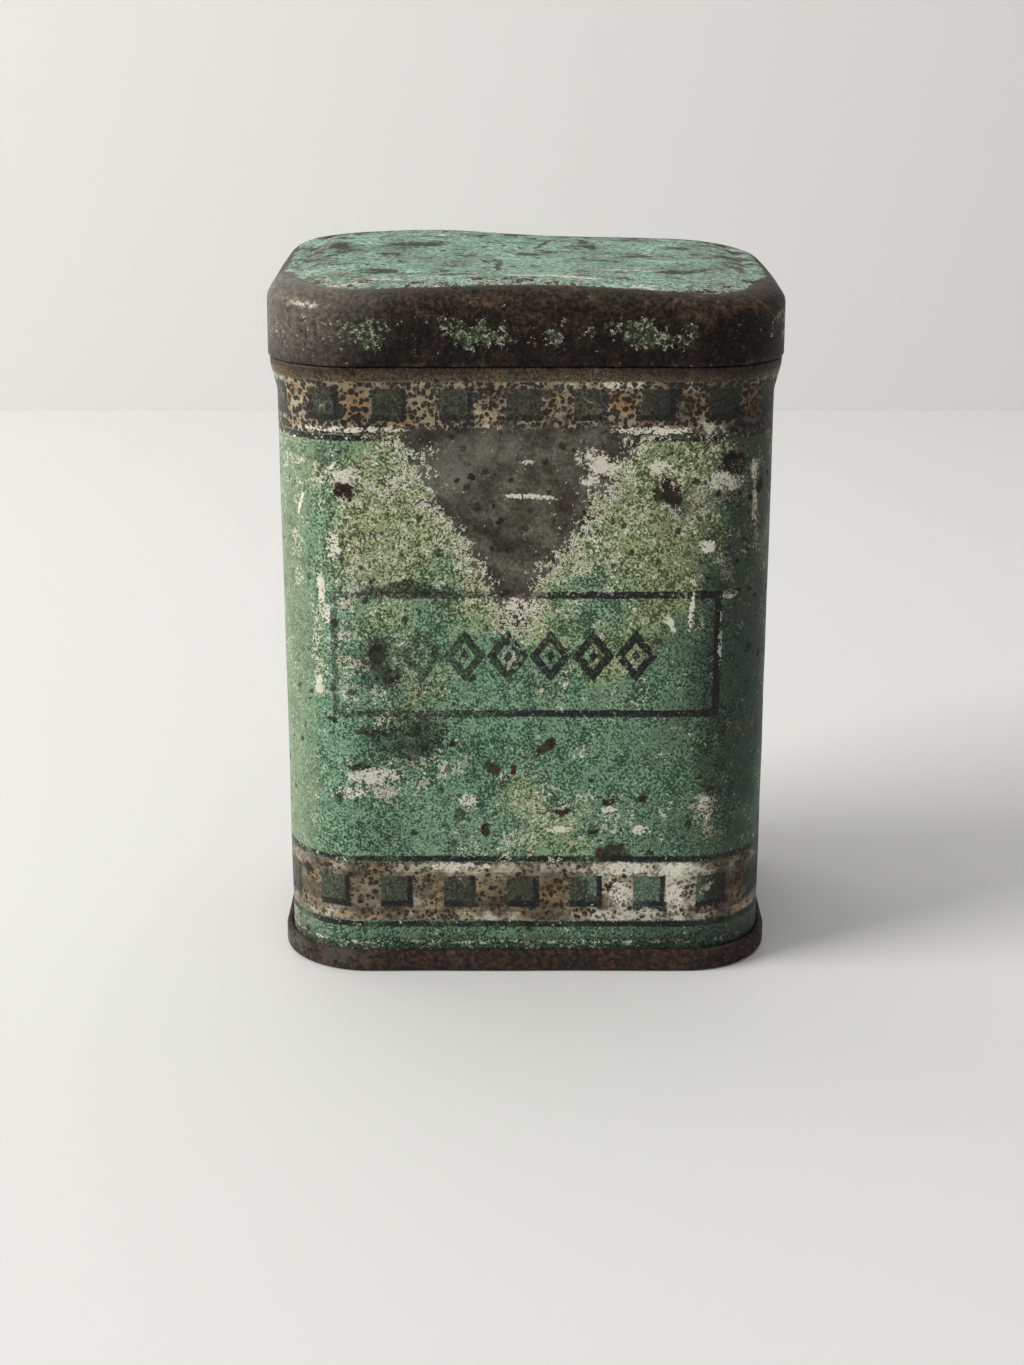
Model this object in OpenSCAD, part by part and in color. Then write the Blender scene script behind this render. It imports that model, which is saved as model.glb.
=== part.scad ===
// Spice tin: a straight body of tinplate with a locked side seam at the back,
// a sunk base held by a double seam, and a slip lid that lifts off the neck.
// +Z is up, the front faces -Y, and the origin is the middle of the footprint.

/* [Body] */
// Width across the side walls
body_w = 57; // [44:0.5:90]
// Depth from the front wall to the back wall
body_d = 41; // [34:0.5:80]
// Outer radius of the upright corners
corner_r = 9.5; // [7.5:0.25:14]
// Height of the shoulder that the lid rests on
shoulder_z = 72.6; // [40:0.2:140]
// Thickness of the tinplate
sheet = 0.26; // [0.2:0.02:0.4]

/* [Shoulder and neck] */
// How far the shoulder swells out from the body wall
shoulder_out = 0.74; // [0.5:0.02:1.2]
// Length of the flare that leads up to the shoulder
flare_h = 3.8; // [2:0.1:8]
// How far the neck stands out from the body wall
neck_out = 0.2; // [0:0.02:0.4]
// Height of the neck above the shoulder
neck_h = 6.8; // [5:0.1:8]
// Depth of the fold turned in at the mouth
mouth_hem_h = 2.4; // [1.5:0.1:3.5]

/* [Lid] */
// Height of the lid from its lower edge to the rim of its top
lid_h = 10.1; // [9:0.1:16]
// Radius of the drawn edge round the top
lid_edge_r = 4.2; // [2.5:0.1:5]
// Rise of the top from its rim to its middle
crown = 1.5; // [0.6:0.1:3]
// Depth of the fold turned in at the lid's lower edge
lid_hem_h = 2; // [1.2:0.1:3]
// Gap between the neck and the lid's fold
lid_fit = 0.1; // [0.05:0.01:0.3]

/* [Base seam] */
// Height of the double seam
seam_h = 2.7; // [2.2:0.1:4]
// Height of the sunk base panel's upper face above the table
panel_z = 3.3; // [2.6:0.1:6]

/* [Side seam] */
// Width of the locked folds
lock_w = 4; // [3:0.1:6]

/* [Hidden] */

$fn = 96;
// Gap between two sheets pressed together in a seam, and in an open fold
fold_gap = 0.04;
hem_gap = 0.1;
// From one sheet's middle to the next one's, in a seam and in an open fold
pitch = sheet + fold_gap;
hem_pitch = sheet + hem_gap;
// Points on each bend
bend_steps = 6;
// Radius left at the corner axis where a swept panel meets its flat middle
core_r = 0.6;
// Bend radius of the base end's open corners
soft_bend = 0.44;
// Bend radius of a hook in a seam, and of an open fold
hook_bend = pitch * 0.9;
hem_bend = sheet / 2 + 0.03;

// Middle lines of the layers of the double seam, out from the body's outer face
wall_line = -sheet / 2;
chuck_line = wall_line - pitch;
cover_hook_line = wall_line + pitch;
body_hook_line = wall_line + 2 * pitch;
seam_line = wall_line + 3 * pitch;
// Sheets overlap this far in the seam, and stop this far from the next bend
seam_floor_z = sheet / 2;
body_hook_floor_z = seam_floor_z + pitch;
seam_roof_z = seam_h - sheet / 2;
hook_stop = 0.4;

// The neck and the lid, out from the body's outer face
neck_line = neck_out - sheet / 2;
neck_top_z = shoulder_z + neck_h;
lid_hem_line = neck_out + lid_fit + sheet / 2;
lid_line = lid_hem_line + hem_pitch;
lid_out = lid_line + sheet / 2;
lid_rim_z = shoulder_z + lid_h;
lid_inner_line = -corner_r + core_r;
shoulder_line = shoulder_out - sheet / 2;
// The flare's long bend, its steep last part and the crease at the shoulder
flare_bend = flare_h * 0.7;
lip_bend = 0.5;
lip_h = 0.9;
lip_lean = 0.05;
crease_bend = 0.16;
// Across the top: the rise of the ledge inside the drawn edge, its width, the
// slope's run-out onto the flat middle, and the bend at both ends of the slope
ledge_rise = 0.25;
ledge_w = 0.4;
run_out = 1.2;
slope_bend = 3;
// The lid stops this far above the shoulder
lid_rest_gap = 0.05;
lid_edge_z = shoulder_z + lid_rest_gap;

// The side seam: the length of sheet that steps down into it, the gap left at
// each fold's end, the step's bends, and the height of back wall it fills
lock_step = 1.6;
lock_stop = 0.5;
step_bend = 0.2;
lock_z0 = seam_h + 1.6;
lock_z1 = shoulder_z - flare_h - 0.4;

// ---- sheet metal helpers ----

function heading(a, b) = (b - a) / norm(b - a);

// The corner b between a and c, rounded with radius r
function rounded(a, b, c, r, n) =
  let (
    u = heading(b, a),
    v = heading(b, c),
    half = acos(u * v) / 2,
    centre = b + (u + v) / norm(u + v) * r / sin(half),
    from = b + u * r / tan(half) - centre,
    to = b + v * r / tan(half) - centre,
    turn = (180 - 2 * half) * sign(cross(from, to))
  )
  [for (i = [0 : n])
    let (a = turn * i / n)
    centre + [from.x * cos(a) - from.y * sin(a), from.x * sin(a) + from.y * cos(a)]];

// A bent sheet's middle line, from points given as [x, y, bend radius]
function bent(path, n = bend_steps) =
  let (p = [for (q = path) [q.x, q.y]], last = len(path) - 1)
  [p[0], for (i = [1 : last - 1]) each rounded(p[i - 1], p[i], p[i + 1], path[i][2], n), p[last]];

// The normal to the left of a line at point i
function left_of(line, i) =
  let (
    last = len(line) - 1,
    before = heading(line[max(i - 1, 0)], line[max(i, 1)]),
    after = heading(line[min(i, last - 1)], line[min(i + 1, last)]),
    along = (before + after) / norm(before + after),
    stretch = 1 / (along * after)
  )
  [-along.y, along.x] * stretch;

// The outline of a sheet of thickness t that follows a middle line
function sheet_outline(line, t) =
  let (last = len(line) - 1)
  [each [for (i = [0 : last]) line[i] + left_of(line, i) * t / 2],
   each [for (i = [last : -1 : 0]) line[i] - left_of(line, i) * t / 2]];

// A section of the sheet, with x out from the body's outer face and y up,
// drawn with x from the axis of the body's corners
module section(path) {
  translate([corner_r, 0]) polygon(sheet_outline(bent(path), sheet));
}

// Carries a section round the body's outline. Its x is the distance out from
// the axes of the upright corners.
module round_the_body() {
  run_x = body_w - 2 * corner_r;
  run_y = body_d - 2 * corner_r;
  for (k = [0 : 3]) {
    run = k % 2 == 0 ? run_x : run_y;
    side_x = (k == 0 || k == 3) ? 1 : -1;
    side_y = k < 2 ? 1 : -1;
    translate([side_x * run_x / 2, side_y * run_y / 2, 0]) rotate(90 * k) {
      rotate_extrude(angle = 90) children();
      translate([-run, 0, 0]) rotate([90, 0, 90]) linear_extrude(run) children();
    }
  }
}

// A flat plate that fills the inside of a swept panel, out to core_r
module middle_plate(z0, thickness) {
  run_x = body_w - 2 * corner_r;
  run_y = body_d - 2 * corner_r;
  translate([0, 0, z0]) linear_extrude(thickness) {
    square([run_x + 2 * core_r, run_y], center = true);
    square([run_x, run_y + 2 * core_r], center = true);
    for (x = [-1, 1], y = [-1, 1]) translate([x * run_x / 2, y * run_y / 2]) circle(core_r);
  }
}

// ---- sub-parts ----

// The sheet's two ends at the back, hooked into each other and pressed flat
module lock_seam() {
  half = lock_w / 2;
  row = [for (n = [0 : 3]) body_d / 2 - sheet / 2 - n * pitch];
  outer_end = [
    [half, row[0], 0], [-half, row[0], hook_bend], [-half, row[2], hook_bend], [half - lock_stop, row[2], 0]
  ];
  inner_end = [
    [-half - lock_step, row[0], 0], [-half - lock_stop, row[0], step_bend],
    [-half - lock_stop, row[3], step_bend],
    [half, row[3], hook_bend], [half, row[1], hook_bend], [-half + lock_stop, row[1], 0]
  ];
  for (path = [outer_end, inner_end])
    translate([0, 0, lock_z0]) linear_extrude(lock_z1 - lock_z0)
      polygon(sheet_outline(bent(path), sheet));
}

// One sheet: a hook in the base seam, the wall, the flared shoulder, the neck
// and the fold at the mouth
module body_wall() {
  path = [
    [body_hook_line, seam_roof_z - pitch - hook_stop, 0],
    [body_hook_line, body_hook_floor_z, hook_bend],
    [wall_line, body_hook_floor_z, hook_bend],
    [wall_line, shoulder_z - flare_h, flare_bend],
    [shoulder_line - lip_lean, shoulder_z - lip_h, lip_bend],
    [shoulder_line, shoulder_z - sheet / 2, crease_bend],
    [neck_line, shoulder_z - sheet / 2, crease_bend],
    [neck_line, neck_top_z - sheet / 2, hem_bend],
    [neck_line - hem_pitch, neck_top_z - sheet / 2, hem_bend],
    [neck_line - hem_pitch, neck_top_z - mouth_hem_h, 0]
  ];
  color("darkseagreen") {
    difference() {
      round_the_body() section(path);
      translate([-lock_w / 2 - lock_step, body_d / 2 - 2 * sheet, lock_z0])
        cube([lock_w + lock_step, 4 * sheet, lock_z1 - lock_z0]);
    }
    lock_seam();
  }
}

// The stamped base: its hook, the outside of the double seam, the foot it
// stands on and the sunk panel
module base_end() {
  path = [
    [cover_hook_line, body_hook_floor_z + pitch + hook_stop, 0],
    [cover_hook_line, seam_roof_z, hook_bend],
    [seam_line, seam_roof_z, hook_bend],
    [seam_line, seam_floor_z, soft_bend],
    [chuck_line, seam_floor_z, soft_bend],
    [chuck_line, panel_z - sheet / 2, soft_bend],
    [-corner_r + core_r, panel_z - sheet / 2, 0]
  ];
  color("saddlebrown") {
    round_the_body() section(path);
    middle_plate(panel_z - sheet, sheet);
  }
}

// The drawn lid: the fold at its lower edge, the skirt, the rounded edge and
// the top, which rises to a flat middle
module lid() {
  path = [
    [lid_hem_line, lid_edge_z + lid_hem_h, 0],
    [lid_hem_line, lid_edge_z + sheet / 2, hem_bend],
    [lid_line, lid_edge_z + sheet / 2, hem_bend],
    [lid_line, lid_rim_z, lid_edge_r - sheet / 2],
    [lid_line - lid_edge_r - ledge_w, lid_rim_z + ledge_rise, slope_bend],
    [lid_inner_line + run_out, lid_rim_z + crown - sheet / 2, slope_bend],
    [lid_inner_line, lid_rim_z + crown - sheet / 2, 0]
  ];
  color("cadetblue") {
    round_the_body() section(path);
    middle_plate(lid_rim_z + crown - sheet, sheet);
  }
}

body_wall();
base_end();
lid();
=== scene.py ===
"""A small printed spice tin: a body with a locked side seam, a seamed base and a slip lid."""
import math
import bmesh
import bpy
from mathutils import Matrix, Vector, noise


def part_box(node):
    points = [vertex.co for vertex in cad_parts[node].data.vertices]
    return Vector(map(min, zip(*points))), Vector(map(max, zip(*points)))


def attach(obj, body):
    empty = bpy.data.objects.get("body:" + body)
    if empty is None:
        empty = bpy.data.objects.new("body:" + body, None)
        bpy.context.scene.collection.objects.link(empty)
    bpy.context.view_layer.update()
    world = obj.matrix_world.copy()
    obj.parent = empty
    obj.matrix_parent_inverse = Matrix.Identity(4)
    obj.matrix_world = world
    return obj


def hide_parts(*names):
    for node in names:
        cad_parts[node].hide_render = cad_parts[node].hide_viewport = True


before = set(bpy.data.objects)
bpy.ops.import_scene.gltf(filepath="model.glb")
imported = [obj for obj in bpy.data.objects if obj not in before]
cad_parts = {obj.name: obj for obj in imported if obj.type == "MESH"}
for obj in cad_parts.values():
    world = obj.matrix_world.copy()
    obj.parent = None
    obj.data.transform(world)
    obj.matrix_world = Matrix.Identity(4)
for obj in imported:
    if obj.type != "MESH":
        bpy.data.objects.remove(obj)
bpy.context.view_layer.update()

# ---- sizes, in millimetres, with +Z up and the front facing -Y ----

MM = 0.001
wall_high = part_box("body_wall")[1] / MM
base_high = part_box("base_end")[1] / MM
lid_low, lid_high = (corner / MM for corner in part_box("lid"))
TALL = lid_high.z * MM

# The sheet, and the middle of one layer to the next where it is folded
SHEET = 0.26
PITCH = SHEET + 0.04
HEM_PITCH = SHEET + 0.1

# The body's outer face and the axes of its upright corners
CORNER_R = 9.5
HALF_W = base_high.x - 3 * PITCH
HALF_D = base_high.y - 3 * PITCH
CORE_X = HALF_W - CORNER_R
CORE_Y = HALF_D - CORNER_R

# Heights
PANEL_Z = base_high.z
SEAM_H = 2.7
FLARE_H = 3.8
MOUTH_Z = wall_high.z
LID_EDGE_Z = lid_low.z
SHOULDER_Z = LID_EDGE_Z - 0.05
CROWN = 1.5
RIM_Z = lid_high.z - CROWN

# Middle lines of the sheet, measured out from the body's outer face
WALL = -SHEET / 2
SHOULDER = 0.74 - SHEET / 2
NECK = 0.2 - SHEET / 2
LID_HEM = 0.3 + SHEET / 2
LID_SKIRT = LID_HEM + HEM_PITCH
BASE_PANEL = -5.0

# How far the folds at the mouth and at the lid's lower edge reach, and the gap at a hook's end
MOUTH_FOLD = 2.4
LID_FOLD = 2.0
HOOK_GAP = 0.4

# The lid's rounded edge, the ledge inside it, and the climb from there to its flat top
LID_EDGE_R = 3.4
LEDGE = 0.3
CROWN_REACH = 3.2
CROWN_RISE = 0.5
GROOVE_W = 0.7
GROOVE = 0.25

# The locked side seam in the middle of the back
LOCK_W = 4.0
LOCK_STEP = 1.6
LOCK_STOP = 0.5
LOCK_Z0 = SEAM_H + 1.6
LOCK_Z1 = SHOULDER_Z - FLARE_H - 0.4

# Radii of the bends, at the middle of the sheet
HOOK_BEND = PITCH * 0.9
HEM_BEND = SHEET / 2 + 0.03
FOOT_BEND = 0.44
FLARE_BEND = FLARE_H * 0.7
SHOULDER_BEND = 0.16
LOCK_BEND = 0.2

# The meshes: steps round a corner and in a right-angled bend, and the longest steps elsewhere
CORNER_STEPS = 20
BEND_STEPS = 6
SIDE_STEP = 1.25
ROW_STEP = 1.3
CURVE_STEP = 0.6
SKIRT_STEP = 0.7
LEDGE_STEP = 0.4
LONG_STEP = 9.0

# Vertices nearer than this become one
CLOSE = 1e-3

# Sections are drawn at the back, just past the lock
BACK_X = -LOCK_W / 2 - LOCK_STEP


# ---- camera, light and floor ----

# The camera's place is in heights of the tin, and it looks down by CAMERA_DOWN degrees
CAMERA_PLACE = Vector((-0.019, -3.135, 1.3385))
CAMERA_DOWN = 17.48
CAMERA_LENS = 58.39

# The floor reaches back to a wall behind the tin, both in heights of the tin
FLOOR_REACH = 30
BACKDROP_Y = 4.1


def place_camera():
    """A camera in front of the tin and a little above it."""
    camera = bpy.data.objects.new("camera", bpy.data.cameras.new("camera"))
    bpy.context.scene.collection.objects.link(camera)
    camera.data.lens = CAMERA_LENS
    camera.data.sensor_width = 36
    camera.data.clip_start = 0.01
    camera.location = CAMERA_PLACE * TALL
    camera.rotation_euler = (math.radians(90 - CAMERA_DOWN), 0, 0)
    bpy.context.scene.camera = camera


def place_lamp(name, place, target, size, power, colour):
    """A soft rectangular studio lamp. Places and sizes are in heights of the tin."""
    data = bpy.data.lights.new(name, "AREA")
    data.shape = "RECTANGLE"
    data.size, data.size_y = size[0] * TALL, size[1] * TALL
    data.energy = power
    data.color = colour
    lamp = bpy.data.objects.new(name, data)
    bpy.context.scene.collection.objects.link(lamp)
    lamp.location = Vector(place) * TALL
    heading = Vector(target) * TALL - lamp.location
    lamp.rotation_euler = heading.to_track_quat("-Z", "Y").to_euler()


def place_backdrop():
    """A pale floor that ends at a pale wall."""
    paint = bpy.data.materials.new("backdrop_paint")
    paint.use_nodes = True
    shader = paint.node_tree.nodes["Principled BSDF"]
    shader.inputs["Base Color"].default_value = (0.78, 0.775, 0.755, 1)
    shader.inputs["Roughness"].default_value = 0.7
    for name, slope, place in (("floor", 0, (0, BACKDROP_Y - FLOOR_REACH, 0)),
                               ("backdrop", 90, (0, BACKDROP_Y, FLOOR_REACH))):
        bm = bmesh.new()
        bmesh.ops.create_grid(bm, x_segments=1, y_segments=1, size=FLOOR_REACH * TALL)
        mesh = bpy.data.meshes.new(name)
        bm.to_mesh(mesh)
        bm.free()
        mesh.materials.append(paint)
        thing = bpy.data.objects.new(name, mesh)
        bpy.context.scene.collection.objects.link(thing)
        thing.rotation_euler = (math.radians(slope), 0, 0)
        thing.location = Vector(place) * TALL


def light_scene():
    """A window at the left, a weak ceiling lamp and a dim even sky."""
    world = bpy.data.worlds.new("studio")
    world.use_nodes = True
    world.node_tree.nodes["Background"].inputs["Color"].default_value = (0.97, 0.98, 1.0, 1)
    world.node_tree.nodes["Background"].inputs["Strength"].default_value = 0.32
    bpy.context.scene.world = world
    bpy.context.scene.view_settings.view_transform = "Standard"
    place_lamp("window", (-12.0, -3.8, 7.9), (0, 0, 0.5), (7.7, 6.0), 14.5, (1.0, 0.99, 0.965))
    place_lamp("ceiling", (0, 0, 10.0), (0, 0, 0.5), (8.0, 8.0), 0.9, (0.97, 0.98, 1.0))


# ---- sheet metal ----

def pull(bm, geom, travel, steps):
    """Draws vertices or a section along a straight line and returns its far end."""
    return bmesh.ops.spin(bm, geom=geom, cent=(0, 0, 0), axis=(0, 0, 1), angle=0, steps=steps,
                          dvec=Vector(travel) / steps, use_merge=False)["geom_last"]


def turn(bm, geom, centre, axis, angle, steps):
    """Draws vertices or a section round an axis and returns its far end."""
    return bmesh.ops.spin(bm, geom=geom, cent=centre, axis=axis, angle=angle, steps=steps,
                          dvec=(0, 0, 0), use_merge=False)["geom_last"]


def bend_sheet(bm, corners, normal):
    """Draws a sheet's middle line through corners given as (point, bend radius, longest step)."""
    geom = [bm.verts.new(corners[0][0])]
    here = Vector(corners[0][0])
    for (point, radius, step), after in zip(corners[1:], corners[2:] + [None]):
        point = Vector(point)
        heading = (point - here).normalized()
        if after is None:
            stop = point
        else:
            onward = (Vector(after[0]) - point).normalized()
            swing = heading.angle(onward)
            stop = point - heading * radius * math.tan(swing / 2)
        run = (stop - here).length
        geom = pull(bm, geom, stop - here, max(1, math.ceil(run / step)))
        here = stop
        if after is None:
            break
        side = 1 if heading.cross(onward).dot(normal) > 0 else -1
        centre = stop + Vector(normal).cross(heading) * radius * side
        steps = max(2, round(BEND_STEPS * swing / (math.pi / 2)))
        geom = turn(bm, geom, centre, normal, swing * side, steps)
        here = point + onward * radius * math.tan(swing / 2)
    return bm.edges[:]


def upright_section(bm, corners):
    """A section at the back of the tin, from corners given as (out, up, bend radius[, step])."""
    places = [((BACK_X, HALF_D + out, up), radius, step[0] if step else LONG_STEP)
              for out, up, radius, *step in corners]
    return bend_sheet(bm, places, Vector((1, 0, 0)))


def with_ends(edges):
    """Edges together with their vertices, each once."""
    return edges + list(dict.fromkeys(vert for edge in edges for vert in edge.verts))


def carry_round(bm, section):
    """Carries a section drawn at the back all the way round the tin, and joins its ends."""
    geom = with_ends(section)

    def side(geom, travel):
        return pull(bm, geom, travel, max(1, round(Vector(travel).length / SIDE_STEP)))

    def corner(geom, x, y):
        return turn(bm, geom, (x, y, 0), (0, 0, 1), math.pi / 2, CORNER_STEPS)

    geom = side(geom, (-CORE_X - BACK_X, 0, 0))
    geom = corner(geom, -CORE_X, CORE_Y)
    geom = side(geom, (0, -2 * CORE_Y, 0))
    geom = corner(geom, -CORE_X, -CORE_Y)
    geom = side(geom, (2 * CORE_X, 0, 0))
    geom = corner(geom, CORE_X, -CORE_Y)
    geom = side(geom, (0, 2 * CORE_Y, 0))
    geom = corner(geom, CORE_X, CORE_Y)
    geom = side(geom, (LOCK_W / 2 - CORE_X, 0, 0))
    side(geom, (BACK_X - LOCK_W / 2, 0, 0))
    bmesh.ops.remove_doubles(bm, verts=bm.verts[:], dist=CLOSE)


def fill_panel(bm, out, z):
    """Fills the rounded loop left at a section's inner end with an even grid."""
    reach = (CORNER_R + out) * math.sin(math.pi / 4) - CLOSE
    rails = [e for e in bm.edges if e.is_boundary and all(
        abs(v.co.z - z) < 0.01 and abs(v.co.y) >= CORE_Y + reach for v in e.verts)]
    bmesh.ops.grid_fill(bm, edges=rails, mat_nr=0, use_smooth=True, use_interp_simple=False)


def out_of(co):
    """How far a point lies outside the body's outer face: below 0 is inside it."""
    dx, dy = abs(co.x) - CORE_X, abs(co.y) - CORE_Y
    if dx > 0 or dy > 0:
        return math.hypot(max(dx, 0), max(dy, 0)) - CORNER_R
    return max(dx, dy) - CORNER_R


ARC = CORNER_R * math.pi / 2
GIRTH = 4 * (CORE_X + CORE_Y + ARC)


def round_from_front(co):
    """Distance round the body's face from the middle of the front, above 0 towards +X."""
    side = 1 if co.x >= 0 else -1
    across, deep = abs(co.x), co.y
    if across > CORE_X and abs(deep) > CORE_Y:
        lean = math.atan2(across - CORE_X, abs(deep) - CORE_Y) * CORNER_R
        along = CORE_X + lean if deep < 0 else GIRTH / 2 - CORE_X - lean
    elif across > CORE_X:
        along = CORE_X + ARC + deep + CORE_Y
    elif deep < 0:
        along = across
    else:
        along = GIRTH / 2 - across
    return side * along


def lay_print(bm, edge=None):
    """A UV map in millimetres: the way round, and up. Past an upright edge it runs on inwards."""
    layer = bm.loops.layers.uv.new("print")
    for face in bm.faces:
        middle = round_from_front(face.calc_center_median())
        for loop in face.loops:
            along = round_from_front(loop.vert.co)
            if along - middle > GIRTH / 2:
                along -= GIRTH
            elif middle - along > GIRTH / 2:
                along += GIRTH
            inward = 0 if edge is None else edge - out_of(loop.vert.co)
            loop[layer].uv = (along, loop.vert.co.z + inward)


# How uneven the walls are, and over what distance, in millimetres
UNEVEN = 0.07
UNEVEN_REACH = 9


def settle(bm, dents=()):
    """Works soft dents and slight unevenness into the sheet. Each dent is (place, reach, push)."""
    for vert in bm.verts:
        rest = vert.co.copy()
        out = Vector((max(abs(rest.x) - CORE_X, 0) * (1 if rest.x > 0 else -1),
                      max(abs(rest.y) - CORE_Y, 0) * (1 if rest.y > 0 else -1), 0))
        if out.length > 0:
            vert.co += out.normalized() * UNEVEN * noise.noise(rest / UNEVEN_REACH)
        for place, reach, push in dents:
            gap = [(rest[i] - place[i]) / reach[i] for i in range(3)]
            vert.co += Vector(push) * math.exp(-sum(g * g for g in gap))


def order_faces(bm):
    """Puts the faces in the order of their vertices. Spin's own order differs from run to run."""
    bm.verts.index_update()
    count = len(bm.verts)

    def rank(face):
        places = [vert.index for vert in face.verts]
        return (min(places) * count + max(places)) * 4 * count + sum(places)

    bm.faces.sort(key=rank)


def finish_piece(bm, name, body, node, materials):
    """Turns a middle surface into a sheet of tinplate and hands the piece to the frame."""
    order_faces(bm)
    bmesh.ops.recalc_face_normals(bm, faces=bm.faces[:])
    for face in bm.faces:
        face.smooth = True
    bmesh.ops.scale(bm, vec=(MM, MM, MM), verts=bm.verts[:])
    mesh = bpy.data.meshes.new(name)
    bm.to_mesh(mesh)
    bm.free()
    for material in materials:
        mesh.materials.append(material)
    piece = bpy.data.objects.new(name, mesh)
    bpy.context.scene.collection.objects.link(piece)
    wall = piece.modifiers.new("sheet", "SOLIDIFY")
    wall.thickness = SHEET * MM
    wall.offset = 0
    wall.use_even_offset = True
    wall.material_offset = 1
    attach(piece, body)
    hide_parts(node)


# ---- pieces ----

def lock_ribbon(bm, corners):
    """One end of the body's sheet, folded in plan and drawn up the back."""
    steps = math.ceil((LOCK_Z1 - LOCK_Z0) / ROW_STEP)
    before = set(bm.edges)
    places = [((x, y, LOCK_Z0), radius, LONG_STEP) for x, y, radius in corners]
    bend_sheet(bm, places, Vector((0, 0, 1)))
    section = [edge for edge in bm.edges if edge not in before]
    pull(bm, with_ends(section), (0, 0, LOCK_Z1 - LOCK_Z0), steps)


def make_body(materials):
    """The wall with its base hook, flared shoulder, neck, mouth fold and side seam."""
    bm = bmesh.new()
    floor = SHEET / 2 + PITCH
    roof = SEAM_H - SHEET / 2
    top = MOUTH_Z - SHEET / 2
    section = upright_section(bm, [
        (WALL + 2 * PITCH, roof - PITCH - HOOK_GAP, 0),
        (WALL + 2 * PITCH, floor, HOOK_BEND),
        (WALL, floor, HOOK_BEND),
        (WALL, LOCK_Z0, 0, 1.0),
        (WALL, LOCK_Z1, 0, ROW_STEP),
        (WALL, SHOULDER_Z - FLARE_H, FLARE_BEND, CURVE_STEP),
        (SHOULDER - 0.05, SHOULDER_Z - 0.9, 0.5, CURVE_STEP),
        (SHOULDER, SHOULDER_Z - SHEET / 2, SHOULDER_BEND),
        (NECK, SHOULDER_Z - SHEET / 2, SHOULDER_BEND),
        (NECK, top, HEM_BEND, ROW_STEP),
        (NECK - HEM_PITCH, top, HEM_BEND),
        (NECK - HEM_PITCH, MOUTH_Z - MOUTH_FOLD, 0, ROW_STEP),
    ])
    carry_round(bm, section)
    half = LOCK_W / 2
    middles = [(face, face.calc_center_median()) for face in bm.faces]
    window = [face for face, at in middles
              if BACK_X < at.x < half and at.y > CORE_Y and LOCK_Z0 < at.z < LOCK_Z1]
    bmesh.ops.delete(bm, geom=window, context="FACES")
    row = [HALF_D - SHEET / 2 - n * PITCH for n in range(4)]
    lock_ribbon(bm, [(half, row[0], 0), (-half, row[0], HOOK_BEND), (-half, row[2], HOOK_BEND),
                     (half - LOCK_STOP, row[2], 0)])
    lock_ribbon(bm, [(BACK_X, row[0], 0), (-half - LOCK_STOP, row[0], LOCK_BEND),
                     (-half - LOCK_STOP, row[3], LOCK_BEND), (half, row[3], HOOK_BEND),
                     (half, row[1], HOOK_BEND), (-half + LOCK_STOP, row[1], 0)])
    bmesh.ops.remove_doubles(bm, verts=bm.verts[:], dist=CLOSE)
    lay_print(bm)
    settle(bm)
    finish_piece(bm, "printed_body", "tin", "body_wall", materials)


def make_base(materials):
    """The stamped base: cover hook, seam wall, foot and sunk panel."""
    bm = bmesh.new()
    roof = SEAM_H - SHEET / 2
    panel_z = PANEL_Z - SHEET / 2
    section = upright_section(bm, [
        (WALL + PITCH, SHEET / 2 + 2 * PITCH + HOOK_GAP, 0),
        (WALL + PITCH, roof, HOOK_BEND),
        (WALL + 3 * PITCH, roof, HOOK_BEND),
        (WALL + 3 * PITCH, SHEET / 2, FOOT_BEND, CURVE_STEP),
        (WALL - PITCH, SHEET / 2, FOOT_BEND),
        (WALL - PITCH, panel_z, FOOT_BEND, CURVE_STEP),
        (BASE_PANEL, panel_z, 0, ROW_STEP),
    ])
    carry_round(bm, section)
    fill_panel(bm, BASE_PANEL, panel_z)
    lay_print(bm)
    settle(bm)
    finish_piece(bm, "seamed_base", "tin", "base_end", materials)


# The lid's top has sunk a little, most at the front and on the right, and everything above
# LID_YIELD_Z gives way with it
LID_YIELD_Z = RIM_Z - LID_EDGE_R - 2.0
LID_SINK = 1.0
LID_LEAN = Vector((-0.012, 0.045, 0))

# Dents and bulges of the lid's top: place, reach, and push, in millimetres
LID_DENTS = [
    ((-11, 18, RIM_Z), (10, 14, 6), (0, 0, 0.65)), ((2, -18, RIM_Z), (9, 8, 4), (0, 0, 0.4)),
    ((29, 16, RIM_Z), (9, 12, 4), (0, 0, -0.5)), ((23, -19, RIM_Z), (9, 8, 3.5), (0, 0, -0.75)),
    ((-20, -19, RIM_Z), (9, 7, 3), (0, 0, -0.55)), ((12, 4, RIM_Z), (7, 5, 4), (0, 0, -0.25)),
]


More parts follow.
